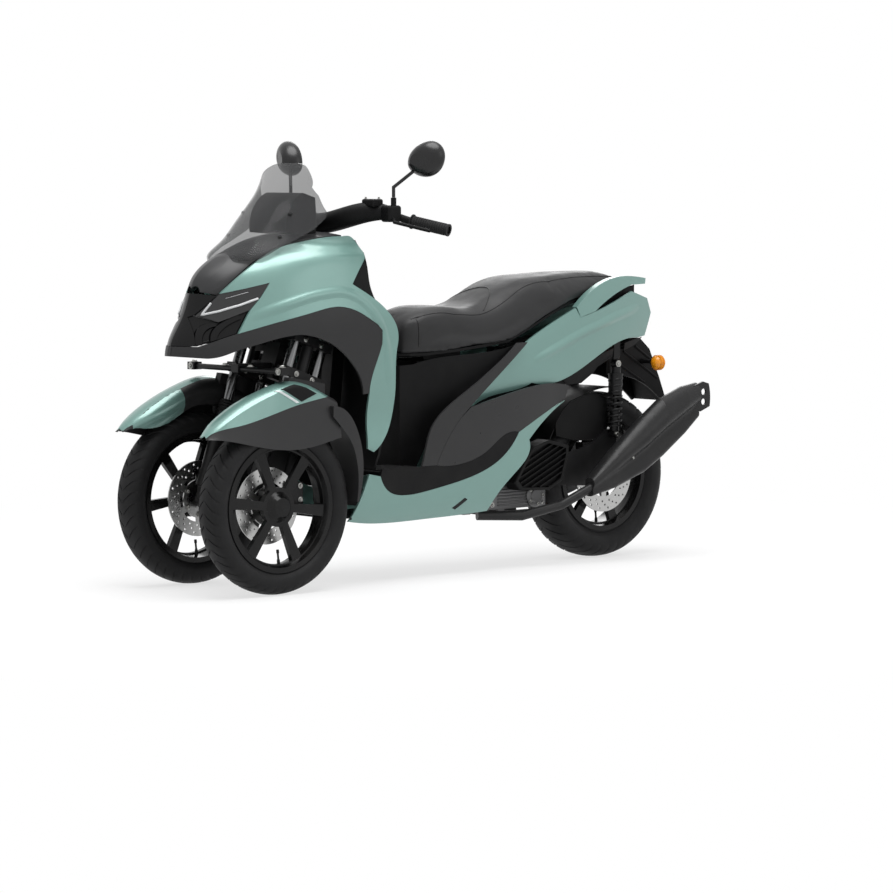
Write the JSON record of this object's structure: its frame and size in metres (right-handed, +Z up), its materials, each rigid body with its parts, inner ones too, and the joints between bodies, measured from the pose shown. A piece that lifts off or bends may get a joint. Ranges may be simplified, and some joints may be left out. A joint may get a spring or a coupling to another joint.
{
  "type": "reverse trike scooter",
  "caption": "Tilting step-through scooter with paired front wheels on outboard fork legs, a driven rear wheel, a stepped seat and a low screen.",
  "frame": {"origin": "centre of the bounding box, on the ground between the wheels", "axes": "-Y is forwards, +X is the rider's left, +Z is up"},
  "size_m": [0.7714, 1.9834, 1.2832],
  "materials": {
    "mint_paint": "satin metallic paint on moulded panels",
    "grey_paint": "satin dark grey paint on moulded panels",
    "black_plastic": "grained black plastic",
    "gloss_black": "glossy black plastic",
    "black_metal": "black painted steel and castings",
    "rim_paint": "satin black painted cast alloy",
    "steel": "brushed steel",
    "alloy": "cast aluminium",
    "tyre": "tyre rubber",
    "grip_rubber": "soft rubber",
    "screen": "smoked clear plastic",
    "lamp_lens": "dark tinted lamp lens",
    "red_lens": "red lamp lens",
    "amber_lens": "amber lamp lens",
    "seat_vinyl": "dark grey seat vinyl over foam",
    "exhaust_black": "heat-proof matt black paint"
  },
  "bodies": {
    "chassis": {"frame": "black_metal", "tilt_linkage": "black_metal", "front_cowl": "mint_paint", "lower_cowl": "grey_paint", "headlamps": "lamp_lens", "headlamp_lines": "lamp_lens", "nose_panel": "gloss_black", "upper_cowl": "black_plastic", "windscreen": "screen", "dash": "black_plastic", "leg_shield": "black_plastic", "wheel_liner": "black_plastic", "centre_cover": "black_plastic", "storage_box": "black_plastic", "belly_pan": "black_plastic", "centre_strips": "grey_paint", "side_covers": "grey_paint", "footboard": "black_plastic", "side_skirts": "mint_paint", "tail_cowl": "mint_paint", "grab_rail": "mint_paint", "under_tail": "black_plastic", "tail_lamp": "red_lens", "rear_mudguard": "black_plastic", "rear_indicators": "amber_lens", "hugger": "black_plastic", "power_unit": "alloy", "radiator_cover": "black_plastic", "swing_arm": "black_metal", "caliper_rear": "black_metal", "rear_shocks": "black_metal", "exhaust": "exhaust_black", "side_stand_bracket": "black_metal"},
    "steering": {"handlebar": "black_metal", "grips": "grip_rubber", "mirrors": "gloss_black"},
    "steering_link": {"tie_rod": "black_metal"},
    "left_leg": {"fork_left": "black_metal", "caliper_left": "black_metal", "fender_left": "mint_paint", "fender_skirt_left": "grey_paint"},
    "right_leg": {"fork_right": "black_metal", "caliper_right": "black_metal", "fender_right": "mint_paint", "fender_skirt_right": "grey_paint"},
    "front_left_wheel": {"tyre_front_left": "tyre", "rim_front_left": "rim_paint", "disc_front_left": "steel"},
    "front_right_wheel": {"tyre_front_right": "tyre", "rim_front_right": "rim_paint", "disc_front_right": "steel"},
    "rear_wheel": {"tyre_rear": "tyre", "rim_rear": "rim_paint", "disc_rear": "steel"},
    "seat_lid": {"seat_cushion": "seat_vinyl", "seat_pan": "black_plastic"},
    "centre_stand_body": {"centre_stand": "black_metal"},
    "side_stand_body": {"side_stand": "black_metal"}
  },
  "joints": [
    {"name": "steering", "type": "hinge", "parent": "chassis", "child": "steering", "pos_m": [0, -0.56359, 0.65778], "axis": [0, 0.342, 0.9397], "range_deg": [-28, 28]},
    {"name": "left_leg_steer", "type": "hinge", "parent": "chassis", "child": "left_leg", "pos_m": [0.118, -0.56359, 0.65778], "axis": [0, 0.342, 0.9397], "range_deg": [-28, 28]},
    {"name": "right_leg_steer", "type": "hinge", "parent": "chassis", "child": "right_leg", "pos_m": [-0.118, -0.56359, 0.65778], "axis": [0, 0.342, 0.9397], "range_deg": [-28, 28]},
    {"name": "steering_link_swing", "type": "hinge", "parent": "steering", "child": "steering_link", "pos_m": [0, -0.50808, 0.55883], "axis": [0, 0.342, 0.9397], "range_deg": [-28, 28]},
    {"name": "front_left_axle", "type": "hinge", "parent": "left_leg", "child": "front_left_wheel", "pos_m": [0.1925, -0.735, 0.25], "axis": [1, 0, 0], "continuous": true},
    {"name": "front_right_axle", "type": "hinge", "parent": "right_leg", "child": "front_right_wheel", "pos_m": [-0.1925, -0.735, 0.25], "axis": [1, 0, 0], "continuous": true},
    {"name": "rear_axle", "type": "hinge", "parent": "chassis", "child": "rear_wheel", "pos_m": [0, 0.675, 0.256], "axis": [1, 0, 0], "continuous": true},
    {"name": "seat_hinge", "type": "hinge", "parent": "chassis", "child": "seat_lid", "pos_m": [0, -0.16, 0.64], "axis": [1, 0, 0], "range_deg": [0, 75]},
    {"name": "centre_stand_pivot", "type": "hinge", "parent": "chassis", "child": "centre_stand_body", "pos_m": [0, 0.22, 0.164], "axis": [-1, 0, 0], "range_deg": [0, 52]},
    {"name": "side_stand_pivot", "type": "hinge", "parent": "chassis", "child": "side_stand_body", "pos_m": [-0.1363, -0.095, 0.207], "axis": [-1, 0, 0], "range_deg": [0, 80]}
  ],
  "couplings": [
    {"joint": "left_leg_steer", "follows": "steering", "ratio": 1},
    {"joint": "right_leg_steer", "follows": "steering", "ratio": 1},
    {"joint": "steering_link_swing", "follows": "steering", "ratio": -1}
  ]
}
